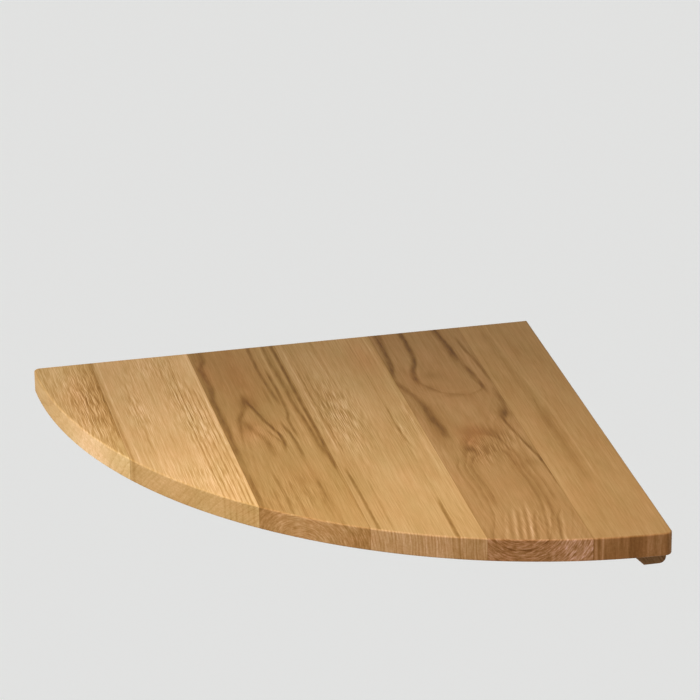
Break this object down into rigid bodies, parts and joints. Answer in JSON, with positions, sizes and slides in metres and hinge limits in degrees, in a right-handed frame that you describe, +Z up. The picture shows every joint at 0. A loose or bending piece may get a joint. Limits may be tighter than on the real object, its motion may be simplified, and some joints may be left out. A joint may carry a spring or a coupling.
{
  "type": "corner shelf",
  "caption": "Quarter-round solid oak wall shelf for a room corner, glued up from staves and screwed onto bevelled wall cleats.",
  "frame": {"origin": "room corner at the level of the panel's underside: the wall planes x = 0 and y = 0 meet the cleats' top faces there", "axes": "+Z up; +X into the side wall; +Y into the back wall; the round front faces -X and -Y"},
  "size_m": [0.401, 0.401, 0.0335],
  "materials": {
    "oak_panel": "satin oiled oak",
    "oak_cleat": "satin oiled oak",
    "screw_steel": "bright zinc plated"
  },
  "bodies": {
    "root": {"panel_stave_1": "oak_panel", "panel_stave_2": "oak_panel", "panel_stave_3": "oak_panel", "panel_stave_4": "oak_panel", "panel_stave_5": "oak_panel", "panel_stave_6": "oak_panel", "back_cleat": "oak_cleat", "side_cleat": "oak_cleat", "back_cleat_screw_1": "screw_steel", "back_cleat_screw_2": "screw_steel", "back_cleat_screw_3": "screw_steel", "side_cleat_screw_1": "screw_steel", "side_cleat_screw_2": "screw_steel", "side_cleat_screw_3": "screw_steel"}
  },
  "joints": []
}
